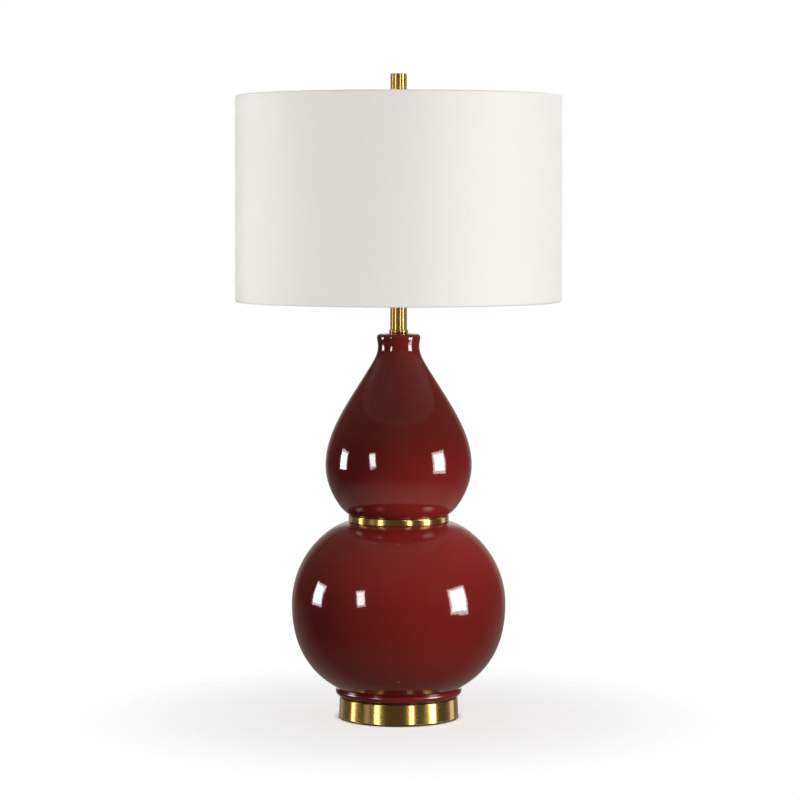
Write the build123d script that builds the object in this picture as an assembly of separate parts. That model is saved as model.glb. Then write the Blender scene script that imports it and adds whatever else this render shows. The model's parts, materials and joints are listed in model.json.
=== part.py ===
from build123d import *
import math
import os

# Double gourd table lamp: a glazed ceramic body of two stacked bulbs on a brass foot, clamped by one
# hollow threaded pipe, with a turn-knob lamp holder, a harp, and a drum shade held by a finial.
# Millimetres. +Z is up, the origin is the middle of the felt's underside, and the front is -Y.

# ---- Driving sizes --------------------------------------------------------------------------------

# Foot
FELT_THICKNESS = 1.5
FELT_INSET = 2.5
BASE_RADIUS = 71.0
BASE_TAPER = 1.1
BASE_HEIGHT = 23.5
BASE_WALL = 1.6
BASE_FLANGE_WIDTH = 9.0
BASE_TOP_ROUND = 1.5
BASE_BOTTOM_ROUND = 0.8
GASKET_THICKNESS = 2.0
GASKET_INSET = 3.4
GASKET_WIDTH = 8.0

# Cord outlet in the back of the foot
CORD_BORE_RADIUS = 3.6
BUSHING_WALL = 1.4
BUSHING_FLANGE_RADIUS = 7.6
BUSHING_FLANGE_THICKNESS = 1.6
BUSHING_REACH = 5.0
CORD_OUTLET_HEIGHT = 10.5

# Threaded pipe and what clamps it
PIPE_RADIUS = 4.9
PIPE_BORE_RADIUS = 3.5
PIPE_HOLE_CLEARANCE = 0.5
THREAD_CLEARANCE = 0.05
PIPE_TAIL = 3.0
PIPE_IN_HOLDER = 6.0
NUT_ACROSS_FLATS = 16.0
NUT_HEIGHT = 5.0
LOCK_WASHER_RADIUS = 8.4
LOCK_WASHER_THICKNESS = 2.0
LOCK_WASHER_SLOT = 1.2
FLAT_WASHER_RADIUS = 15.0
FLAT_WASHER_THICKNESS = 1.5

# Ceramic body
CERAMIC_WALL = 6.0
CERAMIC_HOLE_RADIUS = 6.5
CERAMIC_RIM_WIDTH = 5.7

# Lower gourd, heights counted from its underside
LOWER_HEIGHT = 205.0
LOWER_FOOT_SET_IN = 0.5
LOWER_BEAD_OVERHANG = 4.9
LOWER_BEAD_HEIGHT = 5.2
LOWER_CREASE_OVERHANG = 3.6
LOWER_CREASE_HEIGHT = 8.0
LOWER_CREASE_SLOPE = 32.0
LOWER_CREASE_HANDLE = 20.0
LOWER_BELLY_RADIUS = 126.2
LOWER_BELLY_HEIGHT = 107.5
LOWER_BELLY_HANDLE_DOWN = 66.0
LOWER_BELLY_HANDLE_UP = 53.4
LOWER_RIM_SLOPE = 11.0
LOWER_RIM_HANDLE = 30.0
FOOT_RECESS = 3.0
FOOT_RING_WIDTH = 10.0

# Ring round the waist
RING_HEIGHT = 8.0
RING_RADIUS = 59.2
RING_PROUD_BELOW = 1.2
RING_PROUD_ABOVE = 1.5
RING_EDGE_ROUND = 1.3
RING_LIP_HEIGHT = 4.0
RING_LIP_WALL = 1.6
RING_LIP_CLEARANCE = 0.3

# Upper gourd, with depths counted from its top
UPPER_HEIGHT = 213.8
UPPER_RIM_SLOPE = 26.0
UPPER_RIM_HANDLE = 12.6
UPPER_BELLY_RADIUS = 86.2
UPPER_BELLY_HEIGHT = 58.7
UPPER_BELLY_HANDLE_DOWN = 27.2
UPPER_BELLY_HANDLE_UP = 40.3
SHOULDER_RADIUS = 33.3
SHOULDER_DEPTH = 38.7
SHOULDER_SLOPE = 58.5
SHOULDER_HANDLE = 47.6
NECK_RADIUS = 24.4
NECK_DEPTH = 15.1
NECK_HANDLE_DOWN = 8.0
NECK_HANDLE_UP = 12.0
LIP_FLARE = 1.2
LIP_DEPTH = 4.8
LIP_ROUND = 4.0
LIP_HANDLE = 4.0
CROWN_MARGIN = 1.7
CROWN_HANDLE = 3.0

# Neck tube and its fittings
TUBE_RADIUS = 9.95
TUBE_WALL = 1.2
TUBE_LENGTH = 44.0
SEAT_RING_OVERHANG = 1.35
SEAT_RING_HEIGHT = 4.5
SEAT_RING_ROUND = 1.7
SPIGOT_HEIGHT = 2.5
SPIGOT_CLEARANCE = 0.2
CHECK_RING_OVERHANG = 1.05
CHECK_RING_HEIGHT = 2.0
CHECK_RING_ROUND = 0.6
LOCK_NUT_ACROSS_FLATS = 16.0
LOCK_NUT_HEIGHT = 4.5

# Harp saddle
SADDLE_THICKNESS = 1.5
SADDLE_WIDTH = 12.0
SADDLE_SEAT_LENGTH = 22.0
SADDLE_RISE = 13.0
SADDLE_BEND = 3.0
LEDGE_LENGTH = 12.0
LEG_SET_OUT = 11.8
TAB_WIDTH = 4.4
TAB_HEIGHT = 14.0
TAB_SET_IN = 1.6

# Lamp holder, heights counted from its underside
CAP_CLEARANCE = 0.4
CAP_HEIGHT = 20.0
CAP_SHOULDER_HEIGHT = 10.0
CAP_SHOULDER_ROUND = 6.0
CAP_METAL = 0.8
HUB_RADIUS = 8.5
HUB_HEIGHT = 7.0
SHELL_METAL = 0.8
SHELL_BOTTOM = 16.5
SHELL_TOP = 67.0
SHELL_BEAD = 0.8
SHELL_BEAD_HEIGHT = 2.4
SHELL_BEAD_ROUND = 0.35
LINER_WALL = 0.8
LINER_CLEARANCE = 0.3
LINER_SHORT = 1.0
BLOCK_CLEARANCE = 0.5
BLOCK_LAND = 0.8
BLOCK_BOTTOM = 16.8
BLOCK_NECK_STEP = 3.1
BLOCK_STEP = 28.0
BLOCK_TOP = 42.0
SET_SCREW_RADIUS = 1.6
SET_SCREW_HEAD_RADIUS = 2.6
SET_SCREW_HEAD_HEIGHT = 1.8
SET_SCREW_LEVEL = 3.6
SCREW_SLOT = 0.7
TERMINAL_LEVEL = 22.4
TERMINAL_HEAD_RADIUS = 3.1
TERMINAL_HEAD_HEIGHT = 2.2
TERMINAL_RADIUS = 1.6
TERMINAL_LENGTH = 5.0
TERMINAL_FLAT_DEPTH = 0.6
SCREW_SHELL_METAL = 0.5
SCREW_SHELL_CLEARANCE = 0.3
CENTRE_CONTACT_RADIUS = 3.5
CENTRE_CONTACT_THICKNESS = 1.2

# Switch
STEM_RADIUS = 2.0
STEM_CLEARANCE = 0.1
STEM_LEVEL = 34.5
STEM_DEPTH = 8.0
STEM_HOLE_RADIUS = 3.4
KNOB_GAP = 5.0
KNOB_LENGTH = 15.0
KNOB_RADIUS = 6.5
KNOB_END_RADIUS = 5.6
KNOB_FLUTES = 14
KNOB_FLUTE_RADIUS = 0.8
KNOB_SOCKET_DEPTH = 9.0

# Bulb
BULB_THREAD_RADIUS = 13.0
BULB_THREAD_DEPTH = 0.8
BULB_THREAD_PITCH = 3.6
BULB_THREAD_TURNS = 5
BULB_THREAD_ROUND = 0.8
BULB_CAP_METAL = 0.5
BULB_CONTACT_RADIUS = 4.6
BULB_CONTACT_HEIGHT = 1.4
BULB_CONTACT_ROUND = 0.8
BULB_INSULATOR_HEIGHT = 4.2
BULB_INSULATOR_PLUG = 2.0
BULB_CEMENT_CLEARANCE = 0.2
BULB_CEMENT_DEPTH = 9.0
BULB_LENGTH = 108.0
BULB_RADIUS = 30.0
BULB_GLASS = 0.9
BULB_NECK_SLOPE = 82.0
BULB_NECK_HANDLE = 22.0
BULB_BELLY_HANDLE = 20.0

# Harp
HARP_WIRE_RADIUS = 1.8
HARP_LEG_SET_OUT = 1.25
HARP_HEIGHT = 185.4
HARP_WIDTH = 104.0
HARP_LEG_STRAIGHT = 45.0
HARP_BOW_BOTTOM = 80.0
HARP_BOW_TOP = 125.0
HARP_TOP_WIDTH = 28.0
HARP_LEG_BEND = 40.0
HARP_LOWER_BEND = 60.0
HARP_UPPER_BEND = 90.0
HARP_TOP_BEND = 10.0
CLIP_LENGTH = 15.0
CLIP_WIDTH = 9.0
CLIP_BELOW_WIRE = 3.2
CLIP_ABOVE_WIRE = 7.0
CLIP_ROUND = 1.4
CLIP_CLEARANCE = 0.05
JOURNAL_RADIUS = 2.5
JOURNAL_CLEARANCE = 0.06
JOURNAL_LENGTH = 4.0
JOURNAL_END_GAP = 0.5
STUD_SHOULDER_RADIUS = 7.5
STUD_SHOULDER_HEIGHT = 2.0
STUD_SHOULDER_ROUND = 0.3
STUD_RADIUS = 3.17
STUD_REACH = 14.0
FERRULE_BORE_RADIUS = 3.5
FERRULE_WALL = 1.0
FERRULE_HEIGHT = 14.0
FERRULE_FLANGE_RADIUS = 5.5
FERRULE_FLANGE_HEIGHT = 1.5
SEAT_GAP = 0.15

# Shade
SHADE_RADIUS = 190.5
SHADE_FLARE = 0.8
SHADE_HEIGHT = 240.6
SHADE_RECESS = 13.0
FABRIC_THICKNESS = 0.6
HEM_DEPTH = 9.0
LINER_SHEET = 0.8
LINER_SHEET_GAP = 0.1
SHADE_WIRE_RADIUS = 1.4
SHADE_WIRE_CLEARANCE = 0.5
FITTER_RADIUS = 13.0
FITTER_THICKNESS = 2.0
FITTER_EDGE_ROUND = 0.6
FITTER_HOLE_CLEARANCE = 0.4
FITTER_ARMS = 3
FIRST_ARM_ANGLE = 90.0
ARM_UNDERSIZE = 0.15
ARM_WELD = 2.0
ARM_CLIMB = 14.0
ARM_BEND = 8.0
ARM_NOTCH_CLEARANCE = 0.25

# Finial
FINIAL_RADIUS = 9.6
FINIAL_HEIGHT = 36.2
FINIAL_TOP_ROUND = 0.8
FINIAL_BOTTOM_ROUND = 0.4
FINIAL_BORE_DEPTH = 16.5
FINIAL_THREAD_CLEARANCE = 0.15

# ---- Levels and radii that follow from them -------------------------------------------------------

base_bottom = FELT_THICKNESS
base_top = base_bottom + BASE_HEIGHT
flat_washer_top = base_top - BASE_WALL
lock_washer_top = flat_washer_top - FLAT_WASHER_THICKNESS
nut_top = lock_washer_top - LOCK_WASHER_THICKNESS
lower_bottom = base_top + GASKET_THICKNESS
ring_bottom = lower_bottom + LOWER_HEIGHT
ring_top = ring_bottom + RING_HEIGHT
upper_top = ring_top + UPPER_HEIGHT
tube_bottom = upper_top + SEAT_RING_HEIGHT
tube_top = tube_bottom + TUBE_LENGTH
lock_nut_bottom = tube_top + CHECK_RING_HEIGHT
saddle_bottom = lock_nut_bottom + LOCK_NUT_HEIGHT
holder_bottom = saddle_bottom + SADDLE_THICKNESS
ledge_top = holder_bottom + SADDLE_RISE
set_screw_level = holder_bottom + SET_SCREW_LEVEL
block_top = holder_bottom + BLOCK_TOP
stem_level = holder_bottom + STEM_LEVEL
bulb_bottom = block_top + CENTRE_CONTACT_THICKNESS + SEAT_GAP
insulator_bottom = bulb_bottom + BULB_CONTACT_HEIGHT
bulb_cap_bottom = insulator_bottom + BULB_INSULATOR_HEIGHT
bulb_cap_top = bulb_cap_bottom + BULB_THREAD_TURNS * BULB_THREAD_PITCH
harp_bottom = ledge_top + SEAT_GAP
harp_top = harp_bottom + HARP_HEIGHT
clip_top = harp_top + CLIP_ABOVE_WIRE
shoulder_bottom = clip_top + SEAT_GAP
shoulder_top = shoulder_bottom + STUD_SHOULDER_HEIGHT
fitter_bottom = shoulder_top + SEAT_GAP
fitter_top = fitter_bottom + FITTER_THICKNESS
finial_bottom = fitter_top + SEAT_GAP
shade_top = fitter_bottom + SHADE_RECESS
shade_bottom = shade_top - SHADE_HEIGHT

base_top_radius = BASE_RADIUS - BASE_TAPER
foot_radius = base_top_radius - LOWER_FOOT_SET_IN
lower_rim_radius = RING_RADIUS - RING_PROUD_BELOW
upper_rim_radius = RING_RADIUS - RING_PROUD_ABOVE
mouth_radius = upper_rim_radius - CERAMIC_RIM_WIDTH
seat_ring_radius = TUBE_RADIUS + SEAT_RING_OVERHANG
pipe_hole_radius = PIPE_RADIUS + PIPE_HOLE_CLEARANCE
tapped_radius = PIPE_RADIUS + THREAD_CLEARANCE
pipe_bottom = nut_top - NUT_HEIGHT - PIPE_TAIL
pipe_top = holder_bottom + PIPE_IN_HOLDER
bushing_radius = CORD_BORE_RADIUS + BUSHING_WALL
bushing_outer_end = BASE_RADIUS + BUSHING_FLANGE_THICKNESS
bushing_inner_end = base_top_radius - BASE_WALL - BUSHING_REACH
cord_outlet_level = base_bottom + CORD_OUTLET_HEIGHT
screw_shell_bore = BULB_THREAD_RADIUS + SCREW_SHELL_CLEARANCE
screw_shell_radius = screw_shell_bore + SCREW_SHELL_METAL
block_radius = screw_shell_radius + BLOCK_LAND
block_neck_radius = block_radius - BLOCK_NECK_STEP
liner_bore = block_radius + BLOCK_CLEARANCE
liner_radius = liner_bore + LINER_WALL
shell_bore = liner_radius + LINER_CLEARANCE
shell_radius = shell_bore + SHELL_METAL
cap_bore = shell_radius + CAP_CLEARANCE
cap_radius = cap_bore + CAP_METAL
bulb_cap_bore = BULB_THREAD_RADIUS - BULB_THREAD_DEPTH - BULB_CAP_METAL
bulb_neck_radius = bulb_cap_bore - BULB_CEMENT_CLEARANCE
ferrule_x = cap_radius + LEG_SET_OUT
leg_x = ferrule_x + HARP_LEG_SET_OUT
wrap_radius = SHADE_WIRE_RADIUS + SHADE_WIRE_CLEARANCE
rolled_radius = wrap_radius + FABRIC_THICKNESS
arm_radius = SHADE_WIRE_RADIUS - ARM_UNDERSIZE
top_wire = (SHADE_RADIUS - rolled_radius, shade_top - rolled_radius)
bottom_wire = (SHADE_RADIUS + SHADE_FLARE - rolled_radius, shade_bottom + rolled_radius)


# ---- Helpers --------------------------------------------------------------------------------------


def at(radius, height):
    """A point of a turned outline: radius out from the lamp's axis, and height up it."""
    return Vector(radius, 0, height)


def turned(*parts):
    """The solid that a closed outline sweeps round the lamp's axis.

    Each part is a corner (radius, height) or a curve, and straight lines join one to the next.
    """
    ends = [(at(*part), at(*part)) if isinstance(part, tuple) else (part @ 0, part @ 1) for part in parts]
    edges = [part for part in parts if not isinstance(part, tuple)]
    for number, (_, end) in enumerate(ends):
        following = ends[(number + 1) % len(ends)][0]
        if (following - end).length > 1e-6:
            edges.append(Line(end, following))
    return revolve(make_face(edges), Axis.Z)


def turned_polygon(corners, rounds=None):
    """A turned solid from (radius, height) corners, with rounds as {number of a corner: radius}."""
    rounds = rounds or {}
    radii = [rounds.get(number, 0) for number in range(len(corners))]
    outline = FilletPolyline(*[at(*corner) for corner in corners], radius=radii, close=True)
    return revolve(make_face(outline.edges()), Axis.Z)


def collar(bore, radius, bottom, top, edge_round=0):
    """A plain ring, with its two outer edges rounded if edge_round is given."""
    corners = [(bore, bottom), (radius, bottom), (radius, top), (bore, top)]
    return turned_polygon(corners, {1: edge_round, 2: edge_round})


def disc(radius, bottom, top):
    """A plain round disc or rod on the lamp's axis."""
    return Pos(0, 0, (bottom + top) / 2) * Cylinder(radius, top - bottom)


def rod(radius, start, end):
    """A round rod from one point to another."""
    run = Vector(*end) - Vector(*start)
    return extrude(Plane(origin=start, z_dir=run) * Circle(radius), amount=run.length)


def hex_nut(across_flats, bore, bottom, height):
    """A hexagon nut on the lamp's axis."""
    section = RegularPolygon(across_flats / 2, 6, major_radius=False) - Circle(bore)
    return extrude(Plane.XY.offset(bottom) * section, amount=height)


def swept(path, section):
    """A section carried along a path that lies in the XZ plane."""
    start = Plane(origin=path @ 0, x_dir=(0, 1, 0), z_dir=path % 0)
    return sweep(start * section, path=path)


def belly_curve(belly, belly_handle, end, end_handle, slope, inset=0.0):
    """The points of the curve from a bulb's widest place, where it is upright, to one of its ends.

    belly and end are (radius, height), and slope is the angle to the horizontal at the end, in degrees.
    inset moves the curve into the bulb by a wall's thickness.
    """
    away = 1 if belly[1] > end[1] else -1
    along = (math.cos(math.radians(slope)), math.sin(math.radians(slope)))
    shrink = (belly[0] - inset) / belly[0]
    start = (belly[0] - inset, belly[1])
    finish = (end[0] - inset * along[1], end[1] + away * inset * along[0])
    reach = end_handle * shrink
    return [
        at(*start),
        at(start[0], start[1] - away * belly_handle * shrink),
        at(finish[0] + reach * along[0], finish[1] + away * reach * along[1]),
        at(*finish),
    ]


def forwards(points):
    return Bezier(*points)


def backwards(points):
    return Bezier(*reversed(points))


# ---- Foot -----------------------------------------------------------------------------------------


def felt_pad():
    return disc(BASE_RADIUS - FELT_INSET, 0, base_bottom)


def base_shell():
    flange_bore = BASE_RADIUS - BASE_FLANGE_WIDTH
    corners = [
        (flange_bore, base_bottom),
        (BASE_RADIUS, base_bottom),
        (base_top_radius, base_top),
        (pipe_hole_radius, base_top),
        (pipe_hole_radius, flat_washer_top),
        (base_top_radius - BASE_WALL, flat_washer_top),
        (BASE_RADIUS - BASE_WALL, base_bottom + BASE_WALL),
        (flange_bore, base_bottom + BASE_WALL),
    ]
    shell = turned_polygon(corners, {1: BASE_BOTTOM_ROUND, 2: BASE_TOP_ROUND})
    return shell - towards_back(bushing_radius, bushing_inner_end, bushing_outer_end)


def base_outside():
    """The space that the foot's outer surface encloses."""
    corners = [
        (0, base_bottom),
        (BASE_RADIUS, base_bottom),
        (base_top_radius, base_top),
        (0, base_top),
    ]
    return turned_polygon(corners, {1: BASE_BOTTOM_ROUND, 2: BASE_TOP_ROUND})


def towards_back(radius, start, end):
    """A rod through the cord outlet, from y = start to y = end."""
    return rod(radius, (0, start, cord_outlet_level), (0, end, cord_outlet_level))


def cord_bushing():
    barrel = towards_back(bushing_radius, bushing_inner_end, bushing_outer_end)
    flange = towards_back(BUSHING_FLANGE_RADIUS, bushing_inner_end, bushing_outer_end)
    flange -= base_outside()
    return barrel + flange - towards_back(CORD_BORE_RADIUS, bushing_inner_end, bushing_outer_end)


def foot_gasket():
    radius = base_top_radius - GASKET_INSET
    return collar(radius - GASKET_WIDTH, radius, base_top, lower_bottom)


# ---- Pipe and its nuts ----------------------------------------------------------------------------


def base_flat_washer():
    return collar(pipe_hole_radius, FLAT_WASHER_RADIUS, lock_washer_top, flat_washer_top)


def base_lock_washer():
    ring = collar(pipe_hole_radius, LOCK_WASHER_RADIUS, nut_top, lock_washer_top)
    middle = nut_top + LOCK_WASHER_THICKNESS / 2
    return ring - Pos(LOCK_WASHER_RADIUS, 0, middle) * Box(LOCK_WASHER_RADIUS, LOCK_WASHER_SLOT, NUT_HEIGHT)


def base_hex_nut():
    return hex_nut(NUT_ACROSS_FLATS, tapped_radius, nut_top - NUT_HEIGHT, NUT_HEIGHT)


def lamp_pipe():
    return collar(PIPE_BORE_RADIUS, PIPE_RADIUS, pipe_bottom, pipe_top)


# ---- Ceramic body and the ring round its waist ----------------------------------------------------


def lower_gourd():
    belly = (LOWER_BELLY_RADIUS, lower_bottom + LOWER_BELLY_HEIGHT)
    crease = (foot_radius + LOWER_CREASE_OVERHANG, lower_bottom + LOWER_CREASE_HEIGHT)
    rim = (lower_rim_radius, ring_bottom)
    down = (belly, LOWER_BELLY_HANDLE_DOWN, crease, LOWER_CREASE_HANDLE, LOWER_CREASE_SLOPE)
    up = (belly, LOWER_BELLY_HANDLE_UP, rim, LOWER_RIM_HANDLE, LOWER_RIM_SLOPE)
    foot = (foot_radius, lower_bottom)
    bead = (foot_radius + LOWER_BEAD_OVERHANG, lower_bottom + LOWER_BEAD_HEIGHT)
    recess_radius = foot_radius - FOOT_RING_WIDTH
    recess_top = lower_bottom + FOOT_RECESS
    floor_top = recess_top + CERAMIC_WALL
    return turned(
        ThreePointArc(at(*foot), at(*bead), at(*crease)),
        backwards(belly_curve(*down)),
        forwards(belly_curve(*up)),
        (mouth_radius, ring_bottom),
        backwards(belly_curve(*up, inset=CERAMIC_WALL)),
        forwards(belly_curve(*down, inset=CERAMIC_WALL)),
        (recess_radius, floor_top),
        (CERAMIC_HOLE_RADIUS, floor_top),
        (CERAMIC_HOLE_RADIUS, recess_top),
        (recess_radius, recess_top),
        (recess_radius, lower_bottom),
    )


def waist_ring():
    lip_radius = mouth_radius - RING_LIP_CLEARANCE
    bore = lip_radius - RING_LIP_WALL
    corners = [
        (bore, ring_bottom - RING_LIP_HEIGHT),
        (lip_radius, ring_bottom - RING_LIP_HEIGHT),
        (lip_radius, ring_bottom),
        (RING_RADIUS, ring_bottom),
        (RING_RADIUS, ring_top),
        (lip_radius, ring_top),
        (lip_radius, ring_top + RING_LIP_HEIGHT),
        (bore, ring_top + RING_LIP_HEIGHT),
    ]
    return turned_polygon(corners, {3: RING_EDGE_ROUND, 4: RING_EDGE_ROUND})


def upper_gourd():
    belly = (UPPER_BELLY_RADIUS, ring_top + UPPER_BELLY_HEIGHT)
    rim = (upper_rim_radius, ring_top)
    shoulder = (SHOULDER_RADIUS, upper_top - SHOULDER_DEPTH)
    down = (belly, UPPER_BELLY_HANDLE_DOWN, rim, UPPER_RIM_HANDLE, UPPER_RIM_SLOPE)
    up = (belly, UPPER_BELLY_HANDLE_UP, shoulder, SHOULDER_HANDLE, SHOULDER_SLOPE)
    slope = math.radians(SHOULDER_SLOPE)
    neck = (NECK_RADIUS, upper_top - NECK_DEPTH)
    inner_up = belly_curve(*up, inset=CERAMIC_WALL)
    neck_bore = NECK_RADIUS - CERAMIC_WALL
    neck_bore_bottom = inner_up[-1].Z + (inner_up[-1].X - neck_bore) * math.tan(slope)
    roof = upper_top - CERAMIC_WALL
    return turned(
        backwards(belly_curve(*down)),
        forwards(belly_curve(*up)),
        Bezier(
            at(*shoulder),
            at(
                shoulder[0] - NECK_HANDLE_UP * math.cos(slope),
                shoulder[1] + NECK_HANDLE_UP * math.sin(slope),
            ),
            at(neck[0], neck[1] - NECK_HANDLE_DOWN),
            at(*neck),
        ),
        *neck_lip(neck),
        (CERAMIC_HOLE_RADIUS, upper_top),
        (CERAMIC_HOLE_RADIUS, roof),
        (neck_bore, roof),
        (neck_bore, neck_bore_bottom),
        backwards(inner_up),
        forwards(belly_curve(*down, inset=CERAMIC_WALL)),
        (mouth_radius, ring_top),
    )


def neck_lip(neck):
    """The outline from the neck's narrowest place, round its lip, to the flat that the brass sits on."""
    lip = (neck[0] + LIP_FLARE, upper_top - LIP_DEPTH)
    edge = (lip[0] - LIP_ROUND, lip[1] + LIP_ROUND)
    corner = LIP_ROUND * math.sqrt(0.5)
    crown = (seat_ring_radius + CROWN_MARGIN, upper_top)
    return [
        Bezier(at(*neck), at(neck[0], neck[1] + LIP_HANDLE), at(lip[0], lip[1] - LIP_HANDLE), at(*lip)),
        ThreePointArc(at(*lip), at(edge[0] + corner, lip[1] + corner), at(*edge)),
        Bezier(
            at(*edge),
            at(edge[0] - CROWN_HANDLE, edge[1]),
            at(crown[0] + CROWN_HANDLE, crown[1]),
            at(*crown),
        ),
    ]


# ---- Neck tube and its fittings -------------------------------------------------------------------


def neck_seat_ring():
    spigot_radius = TUBE_RADIUS - TUBE_WALL - SPIGOT_CLEARANCE
    corners = [
        (pipe_hole_radius, upper_top),
        (seat_ring_radius, upper_top),
        (seat_ring_radius, tube_bottom),
        (spigot_radius, tube_bottom),
        (spigot_radius, tube_bottom + SPIGOT_HEIGHT),
        (pipe_hole_radius, tube_bottom + SPIGOT_HEIGHT),
    ]
    return turned_polygon(corners, {1: SEAT_RING_ROUND, 2: SEAT_RING_ROUND})


def neck_tube():
    return collar(TUBE_RADIUS - TUBE_WALL, TUBE_RADIUS, tube_bottom, tube_top)


def neck_check_ring():
    radius = TUBE_RADIUS + CHECK_RING_OVERHANG
    return collar(pipe_hole_radius, radius, tube_top, lock_nut_bottom, CHECK_RING_ROUND)


def neck_lock_nut():
    return hex_nut(LOCK_NUT_ACROSS_FLATS, tapped_radius, lock_nut_bottom, LOCK_NUT_HEIGHT)


def harp_saddle():
    seat_level = holder_bottom - SADDLE_THICKNESS / 2
    ledge_level = ledge_top - SADDLE_THICKNESS / 2
    ledge_end = ferrule_x + LEDGE_LENGTH / 2
    half = [
        (SADDLE_SEAT_LENGTH / 2, seat_level),
        (ledge_end - LEDGE_LENGTH, ledge_level),
        (ledge_end, ledge_level),
    ]
    corners = [(-x, 0, z) for x, z in reversed(half)] + [(x, 0, z) for x, z in half]
    path = FilletPolyline(*corners, radius=SADDLE_BEND)
    strip = swept(path, Rectangle(SADDLE_WIDTH, SADDLE_THICKNESS))
    tab = Pos(0, 0, ledge_top + TAB_HEIGHT / 2) * Box(SADDLE_THICKNESS, TAB_WIDTH, TAB_HEIGHT)
    for side in (-1, 1):
        strip += Pos(side * (ferrule_x - TAB_SET_IN), 0, 0) * tab
    return strip - disc(pipe_hole_radius, saddle_bottom, holder_bottom)


# ---- Lamp holder ----------------------------------------------------------------------------------


def socket_cap():
    level = holder_bottom
    corners = [
        (tapped_radius, level),
        (HUB_RADIUS, level),
        (HUB_RADIUS, level + HUB_HEIGHT),
        (cap_radius, level + CAP_SHOULDER_HEIGHT),
        (cap_radius, level + CAP_HEIGHT),
        (cap_bore, level + CAP_HEIGHT),
        (cap_bore, level + CAP_SHOULDER_HEIGHT + CAP_METAL),
        (tapped_radius, level + HUB_HEIGHT),
    ]
    rounds = {3: CAP_SHOULDER_ROUND, 6: CAP_SHOULDER_ROUND - CAP_METAL}
    return turned_polygon(corners, rounds) - set_screw_shank()


def set_screw_shank():
    return rod(SET_SCREW_RADIUS, (0, tapped_radius, set_screw_level), (0, HUB_RADIUS, set_screw_level))


def slotted_head(radius, height):
    """A cheese head that stands up from the XY plane, with its slot along X."""
    slot = Pos(0, 0, height) * Box(2 * radius, SCREW_SLOT, height)
    return extrude(Circle(radius), amount=height) - slot


def cap_set_screw():
    seat = Plane(origin=(0, HUB_RADIUS, set_screw_level), x_dir=(1, 0, 0), z_dir=(0, 1, 0))
    return set_screw_shank() + seat * slotted_head(SET_SCREW_HEAD_RADIUS, SET_SCREW_HEAD_HEIGHT)


def towards_front(radius, start, end):
    """A rod on the switch's axis, from start to end in front of the lamp's axis."""
    return rod(radius, (0, -start, stem_level), (0, -end, stem_level))


def socket_shell():
    bottom = holder_bottom + SHELL_BOTTOM
    top = holder_bottom + SHELL_TOP
    corners = [
        (shell_bore, bottom),
        (shell_radius, bottom),
        (shell_radius, top - SHELL_BEAD_HEIGHT),
        (shell_radius + SHELL_BEAD, top - SHELL_BEAD_HEIGHT + SHELL_BEAD),
        (shell_radius + SHELL_BEAD, top),
        (shell_bore, top),
    ]
    shell = turned_polygon(corners, {3: SHELL_BEAD_ROUND, 4: SHELL_BEAD_ROUND})
    return shell - towards_front(STEM_HOLE_RADIUS, 0, cap_radius)


def socket_liner():
    bottom = holder_bottom + CAP_HEIGHT
    sleeve = collar(liner_bore, liner_radius, bottom, holder_bottom + SHELL_TOP - LINER_SHORT)
    return sleeve - towards_front(STEM_HOLE_RADIUS, 0, cap_radius)


def socket_block():
    step = holder_bottom + BLOCK_STEP
    block = disc(block_neck_radius, holder_bottom + BLOCK_BOTTOM, step)
    block += disc(block_radius, step, block_top)
    block -= towards_front(STEM_RADIUS + STEM_CLEARANCE, block_radius - STEM_DEPTH, cap_radius)
    for side in (-1, 1):
        seat = terminal_seat(side)
        block -= seat * extrude(Circle(TERMINAL_HEAD_RADIUS + LINER_CLEARANCE), amount=block_neck_radius)
        block -= seat * extrude(Circle(TERMINAL_RADIUS), amount=-TERMINAL_LENGTH)
    return block


def terminal_seat(side):
    """The plane that a terminal screw's head bears on, on the left (-1) or right (1) of the block."""
    x = side * (block_neck_radius - TERMINAL_FLAT_DEPTH)
    return Plane(origin=(x, 0, holder_bottom + TERMINAL_LEVEL), x_dir=(0, 1, 0), z_dir=(side, 0, 0))


def terminal_screws():
    head = slotted_head(TERMINAL_HEAD_RADIUS, TERMINAL_HEAD_HEIGHT)
    screw = head + extrude(Circle(TERMINAL_RADIUS), amount=-TERMINAL_LENGTH)
    return Compound(children=[terminal_seat(side) * screw for side in (-1, 1)])


def centre_contact():
    return disc(CENTRE_CONTACT_RADIUS, block_top, block_top + CENTRE_CONTACT_THICKNESS)


def screw_shell():
    top = holder_bottom + SHELL_TOP - LINER_SHORT
    return collar(screw_shell_bore, screw_shell_radius, block_top, top)


def switch_stem():
    knob_start = shell_radius + KNOB_GAP
    return towards_front(STEM_RADIUS, block_radius - STEM_DEPTH, knob_start + KNOB_SOCKET_DEPTH)


def switch_knob():
    near = shell_radius + KNOB_GAP
    axis = Plane(origin=(0, -near, stem_level), x_dir=(1, 0, 0), z_dir=(0, -1, 0))
    knob = Pos(0, 0, KNOB_LENGTH / 2) * Cone(KNOB_RADIUS, KNOB_END_RADIUS, KNOB_LENGTH)
    flute = Pos(0, 0, KNOB_LENGTH / 2) * Cylinder(KNOB_FLUTE_RADIUS, KNOB_LENGTH)
    knob -= [place * flute for place in PolarLocations(KNOB_RADIUS, KNOB_FLUTES)]
    return axis * knob - switch_stem()


# ---- Bulb -----------------------------------------------------------------------------------------


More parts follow.
